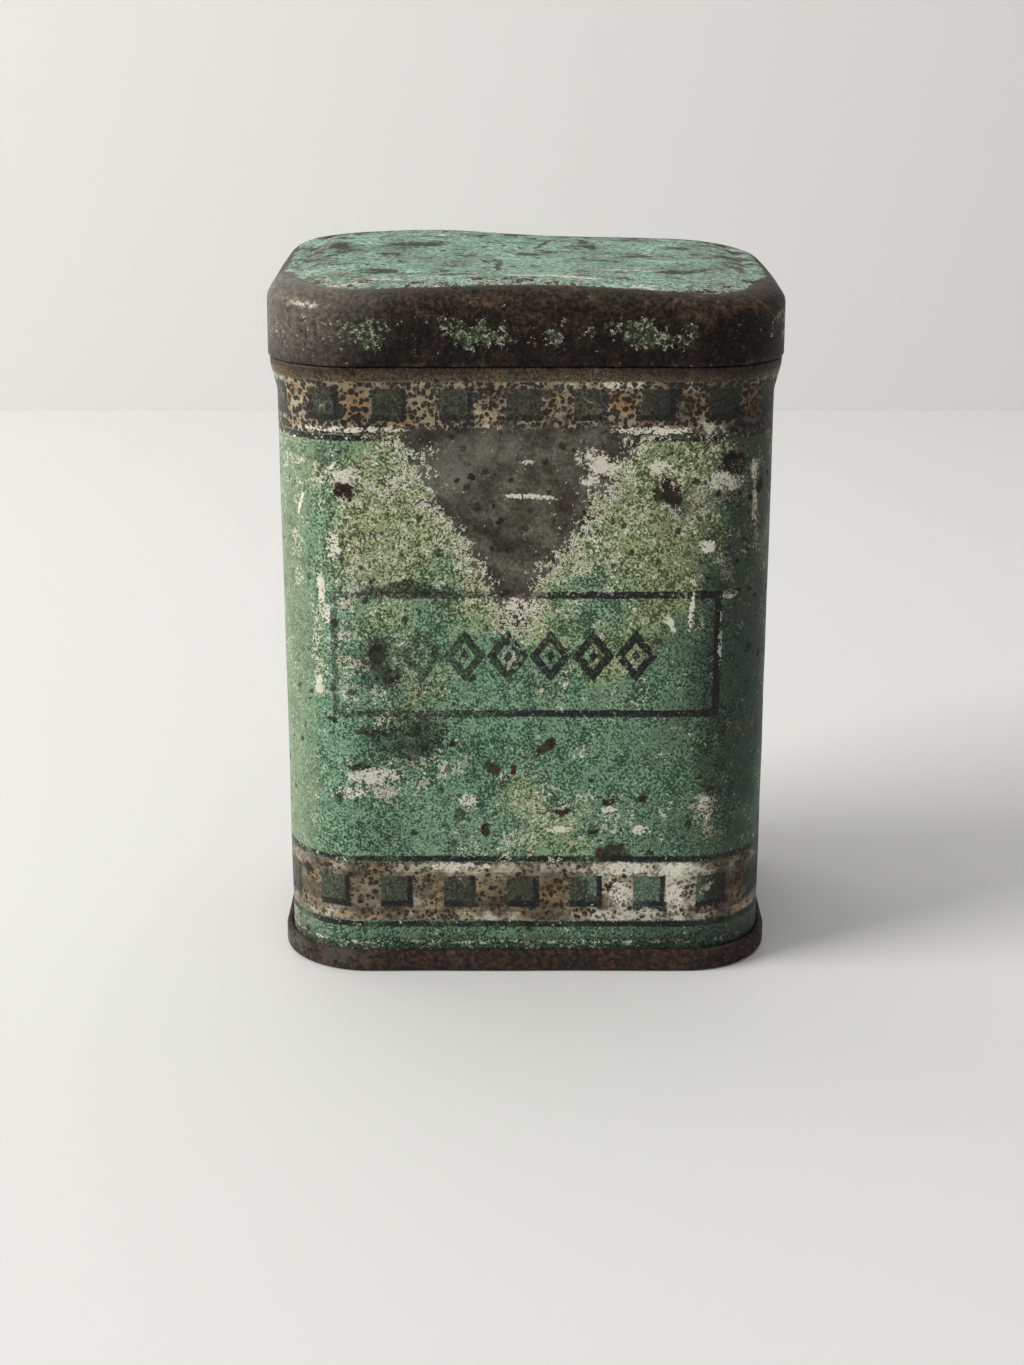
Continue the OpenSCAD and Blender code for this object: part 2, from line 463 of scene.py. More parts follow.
def make_lid(materials):
    """The drawn lid: its hem, skirt, rounded edge, ledge and gently crowned top."""
    bm = bmesh.new()
    ledge_in = LID_SKIRT - LID_EDGE_R - LEDGE
    panel_in = ledge_in - 0.75 * CROWN_REACH
    section = upright_section(bm, [
        (LID_HEM, LID_EDGE_Z + LID_FOLD, 0),
        (LID_HEM, LID_EDGE_Z + SHEET / 2, HEM_BEND),
        (LID_SKIRT, LID_EDGE_Z + SHEET / 2, HEM_BEND),
        (LID_SKIRT, RIM_Z, LID_EDGE_R - SHEET / 2, SKIRT_STEP),
        (panel_in, RIM_Z, 0, LEDGE_STEP),
    ])
    carry_round(bm, section)
    fill_panel(bm, panel_in, RIM_Z)
    lay_print(bm, LID_SKIRT)
    for vert in bm.verts:
        inward = ledge_in - out_of(vert.co)
        if inward > -0.6 and vert.co.z > RIM_Z - 0.1:
            climb = min(max(inward, 0) / CROWN_REACH, 1)
            vert.co.z += CROWN_RISE * climb * climb * (3 - 2 * climb)
            vert.co.z -= GROOVE * math.exp(-(inward / GROOVE_W) ** 2)
        share = max(vert.co.z - LID_YIELD_Z, 0) / (RIM_Z - LID_YIELD_Z)
        vert.co.z += share * (LID_LEAN.dot(vert.co) - LID_SINK)
    settle(bm, LID_DENTS)
    finish_piece(bm, "slip_lid", "lid", "lid", materials)


# ---- laying out shaders ----

class Net:
    """Lays nodes in one tree. An input takes a number, a colour, a vector or another's output."""

    def __init__(self, tree):
        self.tree = tree

    def node(self, kind, inputs=(), **settings):
        made = self.tree.nodes.new(kind)
        for name, value in settings.items():
            setattr(made, name, value)
        for name, value in dict(inputs).items():
            if isinstance(value, bpy.types.NodeSocket):
                self.tree.links.new(value, made.inputs[name])
            else:
                made.inputs[name].default_value = value
        return made

    def math(self, operation, *values):
        return self.node("ShaderNodeMath", enumerate(values), operation=operation).outputs[0]

    def chain(self, operation, values):
        total = values[0]
        for value in values[1:]:
            total = self.math(operation, total, value)
        return total

    def add(self, *values):
        return self.chain("ADD", values)

    def mul(self, *values):
        return self.chain("MULTIPLY", values)

    def most(self, *values):
        return self.chain("MAXIMUM", values)

    def sub(self, a, b):
        return self.math("SUBTRACT", a, b)

    def over(self, a, b):
        return self.math("DIVIDE", a, b)

    def size_of(self, value):
        return self.math("ABSOLUTE", value)

    def ease(self, value, low, high, start=0.0, end=1.0):
        """start below low, end above high, and a smooth climb between."""
        made = self.node("ShaderNodeMapRange", {"Value": value, "From Min": low, "From Max": high,
                                                "To Min": start, "To Max": end},
                         interpolation_type="SMOOTHSTEP")
        return made.outputs["Result"]

    def above(self, value, limit, soft):
        """1 above a limit and 0 below it, with a soft step."""
        return self.ease(value, limit - soft, limit + soft)

    def below(self, value, limit, soft):
        """1 below a limit and 0 above it, with a soft step."""
        return self.ease(value, limit - soft, limit + soft, 1.0, 0.0)

    def between(self, value, low, high, soft):
        """1 between low and high and 0 outside, with soft ends."""
        return self.mul(self.above(value, low, soft), self.below(value, high, soft))

    def vector(self, operation, *values):
        made = self.node("ShaderNodeVectorMath", enumerate(values), operation=operation)
        return made.outputs["Value" if operation == "LENGTH" else "Vector"]

    def scaled(self, vector, factor):
        """A vector or a colour times a number that may vary over the surface."""
        made = self.node("ShaderNodeVectorMath", {0: vector, "Scale": factor}, operation="SCALE")
        return made.outputs["Vector"]

    def turned(self, vector, angle):
        made = self.node("ShaderNodeVectorRotate", {"Vector": vector, "Angle": angle},
                         rotation_type="Z_AXIS")
        return made.outputs[0]

    def leaned(self, vector):
        """Leans a pattern's grid out of line with the tin, where it would show."""
        made = self.node("ShaderNodeMapping", {"Vector": vector, "Rotation": (0.62, 0.47, 0.55)})
        return made.outputs[0]

    def split(self, vector):
        return self.node("ShaderNodeSeparateXYZ", {0: vector}).outputs

    def noise(self, at, scale, detail, rough, twist=0.0):
        made = self.node("ShaderNodeTexNoise", {"Vector": at, "Scale": scale, "Detail": detail,
                                                "Roughness": rough, "Distortion": twist})
        return made.outputs

    def cloud(self, at, size, detail=3.0, rough=0.55, twist=0.0):
        """Noise with spots of about this size in millimetres, from about -1 to 1."""
        fac = self.noise(at, 1.0 / size, detail, rough, twist)["Fac"]
        return self.mul(self.sub(fac, 0.5), 6.0)

    def cells(self, at, scale):
        """A field of cells: the distance from each one's middle and a random colour of its own."""
        return self.node("ShaderNodeTexVoronoi", {"Vector": at, "Scale": scale}).outputs

    def blend(self, share, a, b):
        return self.node("ShaderNodeMix", {0: share, 6: a, 7: b}, data_type="RGBA").outputs[2]

    def on_print(self):
        """The print's own UV map, in millimetres round and up the sheet."""
        return self.node("ShaderNodeUVMap", uv_map="print").outputs[0]

    def in_tin(self):
        """Places in the tin, in millimetres."""
        return self.scaled(self.node("ShaderNodeTexCoord").outputs["Object"], 1 / MM)

    def place(self, group, **inputs):
        """Places a shared effect and returns its outputs."""
        named = {name.replace("_", " ").title(): value for name, value in inputs.items()}
        return self.node("ShaderNodeGroup", named, node_tree=group).outputs


def shade(red, green, blue):
    """A colour from its values of 0 to 255 on a display."""
    def linear(value):
        value /= 255
        return value / 12.92 if value <= 0.04045 else ((value + 0.055) / 1.055) ** 2.4
    return (linear(red), linear(green), linear(blue), 1.0)


def new_group(name, inputs, outputs):
    """An empty shared effect. Its sockets are given as {name: type}."""
    tree = bpy.data.node_groups.new(name, "ShaderNodeTree")
    for side, sockets in (("INPUT", inputs), ("OUTPUT", outputs)):
        for label, kind in sockets.items():
            tree.interface.new_socket(label, in_out=side, socket_type="NodeSocket" + kind)
    net = Net(tree)
    return net, net.node("NodeGroupInput").outputs, net.node("NodeGroupOutput")


def close_group(net, sink, **results):
    for name, value in results.items():
        net.tree.links.new(value, sink.inputs[name.replace("_", " ").title()])
    return net.tree


def new_material(name):
    material = bpy.data.materials.new(name)
    material.use_nodes = True
    return material, Net(material.node_tree)


def finish_material(material, net, colour, rough, metal, height, depth, shine=0.5):
    """Feeds the shader. depth is the height of the bumps in millimetres."""
    shader = material.node_tree.nodes["Principled BSDF"]
    shader.inputs["Specular IOR Level"].default_value = shine
    bump = net.node("ShaderNodeBump", {"Height": height, "Distance": depth * MM})
    for name, value in (("Base Color", colour), ("Roughness", rough), ("Metallic", metal),
                        ("Normal", bump.outputs[0])):
        net.tree.links.new(value, shader.inputs[name])
    return material


# ---- shared effects ----

def wander_group():
    """Moves places about a little, so that what is drawn at them gets an uneven outline."""
    net, given, sink = new_group("wander", {"At": "Vector", "Size": "Float", "Reach": "Float"},
                                 {"At": "Vector"})
    drift = net.noise(given["At"], net.over(1.0, given["Size"]), 3.0, 0.6)["Color"]
    drift = net.vector("SUBTRACT", drift, (0.5, 0.5, 0.5))
    return close_group(net, sink, at=net.vector("ADD", given["At"],
                                                net.scaled(drift, given["Reach"])))


def patch_group():
    """An oval patch at a given place: 1 in its middle, falling smoothly to 0 at its reach."""
    net, given, sink = new_group("patch", {"At": "Vector", "Centre": "Vector", "Reach": "Vector",
                                           "Turn": "Float"}, {"Mask": "Float"})
    gap = net.vector("SUBTRACT", given["At"], given["Centre"])
    share = net.vector("DIVIDE", net.turned(gap, given["Turn"]), given["Reach"])
    return close_group(net, sink, mask=net.ease(net.vector("LENGTH", share), 0.3, 1.0, 1.0, 0.0))


def loss_group():
    """Where the finish has worn off under a given damage: first the print, then its base coat."""
    net, given, sink = new_group("finish_loss", {"At": "Vector", "Damage": "Float"},
                                 {"Print Gone": "Float", "Coat Gone": "Float"})
    at = given["At"]
    vein = net.sub(0.4, net.size_of(net.cloud(at, 1.1, 4.0, 0.7, 0.4)))
    rag = net.add(net.mul(net.cloud(at, 2.0, 3.0, 0.6), 0.4),
                  net.mul(net.cloud(at, 0.42, 3.0, 0.7, 0.3), 0.62), net.mul(vein, 0.62))
    depth = net.add(given["Damage"], rag)
    return close_group(net, sink, print_gone=net.ease(depth, 0.42, 0.62),
                       coat_gone=net.ease(depth, 0.80, 0.96))


def rust_group():
    """Dark scaly rust, redder where it is asked to be."""
    net, given, sink = new_group("rust", {"At": "Vector", "Redness": "Float"},
                                 {"Color": "Color", "Height": "Float"})
    scale = net.cloud(given["At"], 0.6, 6.0, 0.72)
    area = net.cloud(given["At"], 2.4, 4.0, 0.6)
    dark = net.blend(net.ease(scale, -0.5, 0.7), shade(20, 14, 9), shade(68, 53, 41))
    red = net.blend(net.ease(scale, -0.5, 0.7), shade(34, 18, 10), shade(94, 58, 36))
    amount = net.mul(net.ease(area, -0.4, 0.6), given["Redness"])
    return close_group(net, sink, color=net.blend(amount, dark, red), height=scale)


def bare_group():
    """Dull bare tinplate, grey to brown with a dark grain."""
    net, given, sink = new_group("bare_tinplate", {"At": "Vector"}, {"Color": "Color"})
    area = net.cloud(given["At"], 3.6, 5.0, 0.64)
    grain = net.cloud(given["At"], 0.5, 4.0, 0.75)
    base = net.blend(net.ease(area, -1.0, 1.2), shade(54, 48, 39), shade(110, 108, 95))
    return close_group(net, sink, color=net.scaled(base, net.ease(grain, -1.0, 1.0, 0.45, 1.3)))


def pits_group():
    """Small round pits, scattered unevenly."""
    net, given, sink = new_group("pits", {"At": "Vector", "Size": "Float", "Amount": "Float"},
                                 {"Mask": "Float"})
    at = net.place(WANDER, at=given["At"], size=0.6, reach=1.0)["At"]
    cell = net.cells(at, net.over(1.0, given["Size"]))
    luck = net.sub(net.split(cell["Color"])["X"], net.sub(1.0, given["Amount"]))
    width = net.mul(net.most(luck, 0.0), 0.8)
    return close_group(net, sink, mask=net.ease(net.sub(width, cell["Distance"]), -0.02, 0.07))


def scratch_group():
    """Thin scratches that lie mostly along one direction."""
    net, given, sink = new_group("scratches", {"At": "Vector", "Turn": "Float", "Amount": "Float"},
                                 {"Mask": "Float"})
    along = net.vector("MULTIPLY", net.turned(given["At"], given["Turn"]), (0.09, 1.0, 1.0))
    line = net.cloud(along, 0.35, 1.0, 0.5, 0.4)
    where = net.cloud(given["At"], 6.0, 2.0)
    level = net.add(line, net.mul(where, 0.35), given["Amount"])
    return close_group(net, sink, mask=net.ease(level, 1.0, 1.15))


# ---- the printed sheet of the body ----

# The squares of the borders: 24 round the tin, each with a dark shadow at its foot and its right
SQUARE_PITCH = GIRTH / 24
SQUARE_HALF = 1.9
SQUARE_SHIFT = 0.3
SHADOW_W = 0.65
SHADOW_H = (0.7, 0.8)

# How soft a printed edge is
PRINT_EDGE = 0.12

# Heights of the two printed borders, from the foot
UPPER_ROW = (66.5, 70.2)
UPPER_BORDER = (64.9, 71.0)
LOWER_ROW = (8.0, 12.0)
LOWER_BORDER = (6.3, 13.7)
CREAM_RULES = ((65.0, 66.0), (70.3, 70.9), (12.4, 13.6), (6.4, 7.4))
INK_LINES = ((64.2, 64.9), (13.8, 14.55), (5.45, 6.2))

# The framed row of lozenges on the front
FRAME_HALF = 22.05
FRAME_LOW, FRAME_HIGH = 32.25, 46.45
FRAME_LINE = 0.43
LOZENGES = 6
LOZENGE_PITCH = 4.92
LOZENGE_MID = (0.35, 39.2)
LOZENGE_HALF = (2.46, 3.1)

# The bare wedge under the upper border: its tip, and how fast it widens upwards
WEDGE_TIP = (-1.2, 46.6)
WEDGE_SPREAD = 0.6

# Worn places on the sheet: across from the middle of the front, up from the foot, reach across,
# reach up, lean in degrees, and strength
WORN = [
    (-14, 57, 15, 12, 0, 0.24), (13, 61, 14, 7, -8, 0.34),
    (4, 51.5, 13, 9, 35, 0.42), (-9, 52.5, 7, 5.5, -30, 0.44),
    (-19, 42, 7, 15, 0, 0.36), (-15, 24.5, 11, 4.5, -14, 0.55),
    (-0.6, 45, 3.6, 2.6, 0, 0.95), (5, 20, 15, 4, 0, 0.32),
    (-3, 16, 9, 3.5, 0, 0.34), (21.1, 20, 3.2, 4.2, 0, 0.5),
    (15, 61, 3, 1.8, 0, 0.62), (8, 62, 6, 3, 25, 0.8),
    (24, 58.8, 5, 4, 0, 0.72), (27.4, 56, 1, 7, 0, 0.8),
    (-20.6, 60.4, 3.2, 1.3, 0, 0.85), (-24.3, 39, 1.3, 9.5, 0, 0.6),
    (-27, 50, 1.4, 5, 0, 0.6), (-20.5, 58.9, 2.2, 1.1, 0, 1.5),
    (-18, 24.7, 5.5, 1.5, 0, 0.72), (19.5, 56, 2.5, 2.5, 0, 0.5),
    (-1.2, 44.9, 1.2, 0.8, 0, 1.7), (22.5, 49.5, 2, 2.5, 0, 0.55),
]

# Pale scratches and chips, in the same terms
CHIPPED = [
    (0.6, 57.9, 4.6, 0.45, 3, 1), (0.1, 61.9, 1.3, 0.5, 0, 1), (18.9, 44.5, 0.45, 3.6, 4, 0.9),
    (18.7, 48.2, 1.2, 0.4, 40, 0.9), (22.4, 41, 0.35, 5, 0, 0.9), (16.6, 43, 0.5, 2, -20, 0.8),
    (23.4, 46.4, 1.8, 0.8, 0, 0.9), (-24.2, 35.4, 0.7, 1.8, 0, 1.2), (26.9, 56.5, 0.7, 4, 0, 1.1),
    (-3.8, 43.2, 0.4, 0.7, 0, 0.9), (-23.6, 46.9, 0.7, 2.6, 0, 1.2), (-26.4, 56.5, 0.4, 2, 20, 1),
    (4.5, 35.6, 0.4, 0.8, 0, 0.9), (20.6, 52.2, 1.5, 1.4, 0, 0.8), (-22, 61.2, 1.8, 0.4, -32, 1.1),
    (-20.4, 60, 3.2, 1.5, -10, 0.85), (-14.5, 59.6, 3.4, 1.3, 5, 0.62), (8, 61.8, 4.6, 2.2, 22, 0.72),
    (15, 61.2, 2.2, 1.3, 0, 0.72), (22.6, 59.5, 3.8, 1.9, 0, 0.72), (26.6, 60.5, 1, 1.8, 0, 0.9),
    (-17.5, 24.6, 5, 1.4, -4, 0.8), (-20.5, 22.4, 2.8, 1.2, 0, 0.66), (-1.3, 44.9, 2.9, 1.9, 0, 0.8),
    (7.1, 59.8, 1.8, 1.2, 0, 0.7), (-2.5, 24.6, 1.2, 0.9, 0, 0.8), (9.8, 20.3, 1.4, 0.8, 0, 0.8),
    (13.6, 17.8, 1.7, 0.9, 0, 0.72), (-6.6, 21.6, 2, 1.1, 0, 0.66), (3.8, 17.9, 2.8, 0.6, 0, 0.72),
    (21.1, 20.6, 1.7, 2.6, 0, 0.52), (11.8, 12.9, 3.8, 1.2, 0, 0.95), (18, 12.8, 3.2, 1.3, 0, 0.95),
    (11.2, 9.6, 1.8, 2.6, 0, 0.7), (17.8, 9.4, 1.8, 2.6, 0, 0.7), (-8, 13.2, 6, 0.8, 0, 0.75),
    (14, 65.4, 7, 0.7, 0, 0.85), (-19.5, 65.5, 11, 0.55, 0, 0.62), (-22, 52, 1.6, 3, 0, 0.6),
    (-23, 44, 0.9, 2.2, 0, 0.66),
]

# Rust spots, in the same terms
RUSTED = [
    (2.2, 27.8, 2.6, 1, -37, 1), (-3.6, 25.4, 1.1, 1, 0, 1), (-1.8, 25.4, 0.9, 0.8, 0, 1),
    (-8.5, 28.6, 0.9, 0.7, 0, 0.9), (9.7, 21.3, 1.2, 0.7, 0, 1), (13.4, 21.2, 1.4, 0.8, 0, 0.9),
    (4.3, 20.1, 2.2, 0.6, 0, 1), (-4.8, 17.9, 1.5, 1, 0, 0.8), (8.1, 17.8, 1, 0.8, 0, 0.8),
    (-17, 39.3, 1.5, 3.2, 8, 0.66), (-15.3, 36.7, 2.4, 1.3, 20, 0.6), (15.9, 58.4, 2.6, 2.4, 20, 0.9),
    (-21.8, 21.6, 2, 1.3, 0, 0.7), (-22.8, 31, 0.9, 0.6, 0, 1), (23.3, 61.5, 3, 2, 0, 0.7),
    (-17.5, 29.8, 3.2, 1, 0, 0.6), (-19.5, 25.6, 2.4, 0.5, 0, 0.75), (10.5, 15, 3, 1.6, 0, 0.9),
    (22.8, 46.8, 2, 1.5, 0, 0.5), (-20.4, 58.7, 1.9, 1, 0, 1),
]

# Sooty smudges, in the same terms
SOOTY = [
    (-13.5, 29.2, 7, 4.6, -10, 1.25), (25, 36, 8, 26, 0, 0.75), (26.5, 60, 6, 12, 0, 0.9),
    (-17, 38, 5, 5, 0, 0.8), (-12, 35, 4, 3, 0, 0.5), (16.5, 58, 3.5, 3, 0, 0.5),
    (-12.5, 47.2, 8, 1.3, 0, 1.5), (-2.5, 46.8, 4, 1, 0, 0.9), (-22, 62, 3, 3.5, 0, 0.6),
    (24, 50, 3, 3, 0, 0.6), (-18, 18, 6, 5, 0, 0.3),
]

# Tan stains on the cream of the borders, in the same terms
TANNED = [
    (-19.2, 68.3, 3, 3, 0, 1), (-4, 68.3, 2.6, 2.6, 0, 0.5), (3.4, 68.3, 2.8, 2.6, 0, 0.8),
    (11, 68.3, 2.4, 2.6, 0, 0.9), (18.4, 68.3, 2.6, 2.8, 0, 1), (25.9, 68.3, 2.4, 2.8, 0, 1),
    (-25.5, 9.8, 2.4, 2.6, 0, 0.9), (-9, 10, 3, 3, 0, 0.8), (3, 10, 3, 3.2, 0, 0.8),
    (24, 9.5, 2.4, 2.6, 0, 0.8), (-2, 6.9, 9, 0.8, 0, 0.8), (-20, 6.9, 6, 0.8, 0, 0.9),
]

# Dark marks on the lid's top, with their places given across and back from its middle
LID_MARKED = [
    (-1, 15, 3, 2.5, 0, 1), (0, 1, 2.6, 1.5, 0, 0.9), (-3, -7, 0.6, 6, 5, 1),
    (-4.8, -4, 0.5, 4, -20, 0.9), (-13, 6, 5, 2.2, 0, 0.8), (-17, -11, 4, 2.2, 0, 0.9),
    (7.5, 9, 1.2, 6, -12, 0.9), (8.5, -2, 3, 1.6, 0, 0.9), (13, 2, 3, 1.6, 0, 0.8),
    (18, 8, 3.5, 2, 0, 0.7), (17, -9, 4, 1.8, 0, 0.8), (24, 3, 3, 2, 0, 0.7),
    (-22, 4, 2.5, 6, 0, 0.8), (-8, -13, 3, 1, 0, 0.8), (2, 8, 0.6, 5, 12, 0.8),
]

# Pale flecks on the lid's top, in the same terms
LID_CHIPPED = [
    (3, -14.5, 8, 0.8, 4, 0.9), (11.5, -8.5, 5.5, 0.9, 0, 0.9), (-9, -18, 4, 0.8, 0, 0.9),
    (13, -17.5, 4, 1, 0, 0.9), (-20, -16.5, 3.5, 0.7, 0, 0.8), (22, -17.5, 4, 0.7, 0, 0.9),
    (-15, -15, 4, 0.6, 0, 0.7), (9, 2, 3, 0.5, -8, 0.7), (-10, 12, 3, 1.2, 0, 0.6),
]


def placed(net, at, rows):
    """The strongest of several placed patches."""
    masks = []
    for across, up, wide, tall, lean, strength in rows:
        patch = net.place(PATCH, at=at, centre=(across, up, 0), reach=(wide, tall, 1000),
                          turn=math.radians(lean))["Mask"]
        masks.append(net.mul(patch, strength))
    return net.most(*masks)


def print_borders(net, across, up):
    """The two printed borders with their squares and rules, as masks."""
    def rows(*bands):
        return net.most(*[net.between(up, low, high, PRINT_EDGE) for low, high in bands])

    from_first = net.add(across, SQUARE_SHIFT)
    cell = net.math("WRAP", from_first, SQUARE_PITCH / 2, -SQUARE_PITCH / 2)
    square = net.mul(rows(UPPER_ROW, LOWER_ROW),
                     net.below(net.size_of(cell), SQUARE_HALF, PRINT_EDGE))
    feet = [(row[0], row[0] + tall) for row, tall in zip((UPPER_ROW, LOWER_ROW), SHADOW_H)]
    side = net.above(cell, SQUARE_HALF - SHADOW_W, 0.1)
    return {"border": rows(UPPER_BORDER, LOWER_BORDER), "rules": rows(*CREAM_RULES),
            "lines": rows(*INK_LINES), "square": square,
            "shadow": net.mul(square, net.most(rows(*feet), side)),
            "count": net.math("FLOOR", net.add(net.over(from_first, SQUARE_PITCH), 0.5))}


def print_label(net, across, up):
    """The framed row of lozenges on the front, as a mask."""
    half_tall = (FRAME_HIGH - FRAME_LOW) / 2
    from_middle = net.size_of(net.sub(up, FRAME_LOW + half_tall))
    past = net.most(net.sub(net.size_of(across), FRAME_HALF), net.sub(from_middle, half_tall))
    frame_ink = net.below(net.size_of(past), FRAME_LINE, 0.07)

    step = LOZENGE_PITCH / 2
    along = net.sub(across, LOZENGE_MID[0])
    bead = net.size_of(net.sub(net.size_of(net.math("WRAP", along, LOZENGE_PITCH, 0.0)), step))
    rise = net.size_of(net.sub(up, LOZENGE_MID[1]))
    ring = net.add(net.over(bead, LOZENGE_HALF[0]), net.over(rise, LOZENGE_HALF[1]))
    ring = net.most(net.between(ring, 0.52, 1.0, 0.03), net.below(ring, 0.23, 0.03))
    lozenges = net.mul(ring, net.below(net.size_of(along), LOZENGES * step, 0.05))
    return net.mul(net.below(from_middle, 12.25, 0.25), net.most(frame_ink, lozenges))


class Sheet:
    """Places, noises and masks that several layers of the printed sheet share."""

    def __init__(self, net, at):
        self.at = at
        self.shaky = net.place(WANDER, at=at, size=1.4, reach=0.35)["At"]
        loose = net.place(WANDER, at=at, size=3.2, reach=3.2)["At"]
        self.loose = net.place(WANDER, at=loose, size=0.9, reach=1.1)["At"]
        self.flat = net.leaned(at)
        self.across, self.up = net.split(self.shaky)["X"], net.split(self.shaky)["Y"]
        self.art = print_borders(net, self.across, self.up)
        self.upper_border = net.mul(self.art["border"], net.ease(self.up, 30.0, 40.0))

        self.broad = net.cloud(self.flat, 5.0, 4.0, 0.65)
        self.stain = net.cloud(self.flat, 2.8, 4.0, 0.62)
        self.mottle = net.cloud(self.flat, 1.3, 5.0, 0.7)
        self.stipple = net.cloud(self.flat, 0.28, 2.0, 0.7)
        self.grime = net.add(self.stipple, self.mottle)

        # The print is calmest round the front's two upright edges
        self.edge = net.add(net.size_of(self.across), net.mul(self.broad, 2.5))
        self.calm = net.mul(net.ease(self.edge, 22.5, 26.0), net.ease(self.edge, 38.0, 46.0, 1.0, 0.4))
        mixed = net.add(net.mul(self.mottle, 0.7), net.mul(self.stipple, 1.35),
                        net.mul(self.broad, 0.55))
        self.mixed = net.mul(mixed, net.ease(self.calm, 0.0, 1.0, 1.0, 0.35))

        # The upper part is worn more, and a stretch of both borders has stayed clean
        self.upper_wear = net.ease(self.up, 38.0, 58.0, -0.28, -0.06)
        self.clean = net.mul(net.between(net.add(self.across, net.mul(self.mottle, 2.0)), 8.5, 21.0, 1.5),
                             net.ease(self.up, 30.0, 40.0, 0.85, 0.3))


def sheet_damage(net, on):
    """Damage to the print: the bare wedge, the worn places, the lower edge and a stray remainder."""
    spread = net.split(on.loose)
    wedge = net.sub(net.mul(net.sub(spread["Y"], WEDGE_TIP[1]), WEDGE_SPREAD),
                    net.size_of(net.sub(spread["X"], WEDGE_TIP[0])))
    wedge = net.mul(net.ease(wedge, -7.5, 2.2, 0.0, 1.9), net.ease(on.up, 64.8, 66.4, 1.0, 0.25))
    hem = net.ease(on.up, 3.0, 4.0, 0.3, 0.0)
    far_side = net.ease(net.size_of(on.across), 27.0, 40.0)
    stray = net.mul(net.cloud(on.flat, 11.0, 3.0, 0.5), net.add(0.16, net.mul(far_side, 0.3)))
    return net.add(net.most(placed(net, on.loose, WORN), wedge, hem), stray, on.upper_wear)


def green_print(net, on):
    """Green ink, mottled at three scales: olive towards the top and minty down the left edge."""
    zone = net.add(net.mul(net.cloud(on.flat, 11.0, 3.0, 0.55), 0.8),
                   net.ease(on.up, 34.0, 56.0, -1.15, 0.5), net.ease(on.edge, 15.0, 27.0, 0.3, -0.9))
    olive = net.ease(zone, -0.8, 0.9)
    mint = net.mul(net.ease(net.add(on.across, on.broad), -28.0, -22.0, 1.0, 0.0),
                   net.ease(on.across, -60.0, -40.0))
    green = net.blend(mint, net.blend(olive, shade(58, 92, 70), shade(86, 100, 60)), shade(86, 108, 82))
    pale = net.blend(mint, net.blend(olive, shade(132, 168, 134), shade(176, 188, 136)),
                     shade(150, 168, 136))
    green = net.blend(net.ease(on.mixed, -0.7, 1.1), green, pale)
    return net.scaled(green, net.ease(on.mixed, -1.5, 0.5, 0.44, 1.18))


def border_cream(net, on):
    """The cream of the borders, stained, filmed and holed by rust, and a mask of its holes."""
    tired = net.add(0.85, net.mul(on.upper_border, 0.2), net.mul(on.art["rules"], -0.35),
                    net.mul(on.broad, 0.6), net.mul(on.clean, -1.0))
    cream = net.blend(net.ease(on.stain, 0.5, 1.2), shade(210, 204, 182), shade(172, 138, 94))
    cream = net.scaled(cream, net.ease(on.stipple, -1.2, 0.6, 0.62, 1.08))
    old = net.blend(net.ease(on.stain, 0.2, 1.0), shade(162, 147, 114), shade(150, 110, 66))
    cream = net.blend(net.ease(tired, 0.0, 0.8, 0.0, 0.85), cream, old)
    tanned = net.mul(placed(net, on.shaky, TANNED),
                     net.ease(net.add(on.mottle, on.stain), -1.0, 0.7, 0.25, 1.1))
    cream = net.blend(net.ease(tanned, 0.2, 0.7, 0.0, 0.7), cream, shade(172, 128, 80))
    cream = net.scaled(cream, net.add(1.0, net.mul(on.upper_border, 0.24)))

    cell = net.cells(net.place(WANDER, at=on.flat, size=0.7, reach=0.5)["At"], 1.75)
    width = net.add(0.28, net.mul(net.split(cell["Color"])["X"], 0.38), net.mul(on.broad, 0.08),
                    net.mul(on.upper_border, 0.1))
    ragged = net.add(cell["Distance"], net.mul(on.stipple, 0.09))
    eaten = net.ease(net.add(on.stain, net.mul(on.mottle, 0.8), on.upper_border), -1.0, 0.5, 0.25, 1.0)
    holes = net.mul(net.ease(net.sub(width, ragged), -0.05, 0.08),
                    net.ease(net.add(tired, net.mul(on.clean, 0.75)), -0.2, 0.45), eaten)
    cream = net.blend(net.mul(holes, 0.97), cream, shade(24, 19, 13))

    smear = net.cloud(net.leaned(net.vector("MULTIPLY", on.at, (0.35, 1.0, 1.0))), 1.5, 4.0, 0.66)
    film = net.mul(net.ease(tired, -0.2, 0.8), net.sub(1.0, net.mul(on.upper_border, 0.45)),
                   net.ease(net.add(smear, net.mul(on.mottle, 0.4)), -0.9, 1.2, 1.0, 0.25))
    return net.blend(net.mul(film, 0.8), cream, shade(48, 39, 26)), holes


def border_squares(net, on, cream):
    """The borders with their green squares, each one fresher or grimier by its own luck."""
    count = net.add(on.art["count"], net.mul(on.upper_border, 7.0))
    luck = net.node("ShaderNodeTexWhiteNoise", {"W": count}, noise_dimensions="1D").outputs["Value"]
    lit = net.ease(on.mixed, -0.8, 1.2)
    fresh = net.blend(lit, shade(50, 72, 58), shade(110, 138, 116))
    grimy = net.blend(lit, shade(26, 31, 24), shade(76, 82, 62))
    dull = net.sub(net.add(net.mul(luck, 0.5), 0.35, net.mul(on.upper_border, 0.3)),
                   net.mul(on.clean, 1.2))
    held = net.ease(net.add(on.mottle, net.mul(on.broad, 0.7)), -1.5, -0.6, 0.3, 0.94)
    return net.blend(net.mul(on.art["square"], held), cream,
                     net.blend(net.ease(dull, 0.05, 0.5), fresh, grimy))


